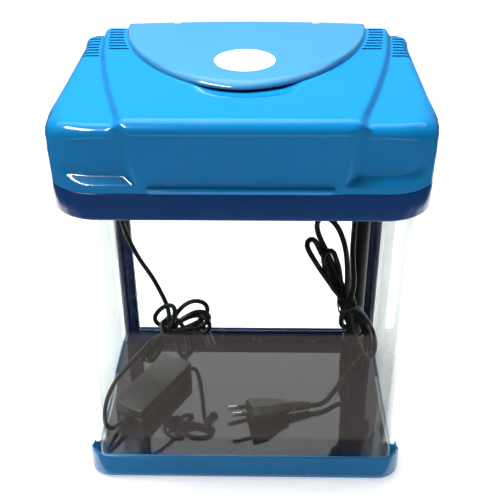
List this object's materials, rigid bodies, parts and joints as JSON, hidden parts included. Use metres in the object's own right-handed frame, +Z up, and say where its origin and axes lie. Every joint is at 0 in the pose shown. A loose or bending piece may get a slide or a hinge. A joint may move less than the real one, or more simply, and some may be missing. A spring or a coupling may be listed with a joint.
{
  "type": "small desktop aquarium with pump filter",
  "caption": "Small bent-glass desktop aquarium with a moulded hood, feeding hatch, hood lamp, riser pump filter and two bundled leads.",
  "frame": {"origin": "centre of the base's footprint on the table, under the rubber feet", "axes": "+X to the right seen from the front, +Y to the back, where the hood's hinge is, +Z up"},
  "size_m": [0.281, 0.21, 0.3462],
  "materials": {
    "shell_blue": "high-gloss moulded blue",
    "base_blue": "gloss moulded blue",
    "post_blue": "gloss dark blue",
    "hatch_blue": "high-gloss moulded blue",
    "label_white": "plain white",
    "glass": "clear",
    "floor_glass": "over a dark base",
    "seal": "clear silicone",
    "rubber_black": "matte",
    "steel": "plain",
    "pump_black": "satin",
    "pump_grey": "satin",
    "sponge": "open foam",
    "cartridge": "felt over charcoal",
    "impeller_white": "satin",
    "magnet": "sintered",
    "shaft_ceramic": "ground",
    "knob_blue": "satin",
    "lamp_white": "satin",
    "board": "lacquered board",
    "diode": "phosphor",
    "lens": "clear",
    "driver_black": "fine matte texture",
    "lead_black": "smooth vinyl jacket",
    "plug_black": "moulded vinyl",
    "pin_nickel": "nickel plate"
  },
  "bodies": {
    "tank": {"base_tray": "base_blue", "base_feet": "rubber_black", "floor_pane": "floor_glass", "bent_pane": "glass", "rear_pane": "glass", "corner_post_left": "post_blue", "corner_post_right": "post_blue", "rear_rail": "post_blue", "corner_seals": "seal", "floor_seal": "seal", "collar": "shell_blue", "hood_hinge_pins": "steel", "lamp_grommet": "rubber_black", "filter_box": "pump_grey", "filter_box_cover": "pump_grey", "filter_sponge": "sponge", "carbon_cartridge": "cartridge", "pump_motor": "pump_black", "pump_volute": "pump_grey", "volute_seal": "rubber_black", "pump_shaft": "shaft_ceramic", "shaft_bushes": "rubber_black", "outlet_spout": "pump_grey", "riser_tube": "pump_black", "riser_adaptor": "pump_black", "strainer": "pump_black", "strainer_cap": "pump_black", "pump_gland": "rubber_black", "driver_base": "driver_black", "driver_cover": "driver_black", "driver_board": "board", "driver_screws": "steel", "driver_front_relief": "rubber_black", "driver_back_relief": "rubber_black", "tail_lead": "lead_black", "tail_socket": "driver_black", "lamp_lead_upper": "lead_black", "lamp_hank": "lead_black", "lamp_lead_lower": "lead_black", "pump_lead_upper": "lead_black", "pump_hank": "lead_black", "pump_tie": "rubber_black", "pump_lead_lower": "lead_black", "plug_body": "plug_black", "plug_sleeves": "plug_black", "plug_pins": "pin_nickel"},
    "hood": {"hood_shell": "shell_blue", "lamp_housing": "lamp_white", "lamp_board": "board", "lamp_diodes": "diode", "lamp_lens": "lens", "lamp_screws": "steel", "lamp_inner_lead": "lead_black"},
    "feed_hatch": {"feed_hatch": "hatch_blue", "hatch_label": "label_white", "hatch_pins": "steel"},
    "impeller": {"impeller": "impeller_white", "impeller_magnet": "magnet"},
    "flow_valve": {"flow_valve": "pump_grey", "flow_knob": "knob_blue"}
  },
  "joints": [
    {"name": "hood_hinge", "type": "hinge", "parent": "tank", "child": "hood", "pos_m": [0, 0.101, 0.279], "axis": [-1, 0, 0], "range_deg": [0, 85]},
    {"name": "hatch_hinge", "type": "hinge", "parent": "hood", "child": "feed_hatch", "pos_m": [0, 0.0983, 0.34406], "axis": [-1, 0, 0], "range_deg": [0, 95]},
    {"name": "impeller_spin", "type": "hinge", "parent": "tank", "child": "impeller", "pos_m": [0.1065, 0.049, 0.23], "axis": [0, 0, 1], "continuous": true},
    {"name": "flow_turn", "type": "hinge", "parent": "tank", "child": "flow_valve", "pos_m": [0.076, 0.0745, 0.298], "axis": [0, 0, 1], "range_deg": [0, 90]}
  ]
}
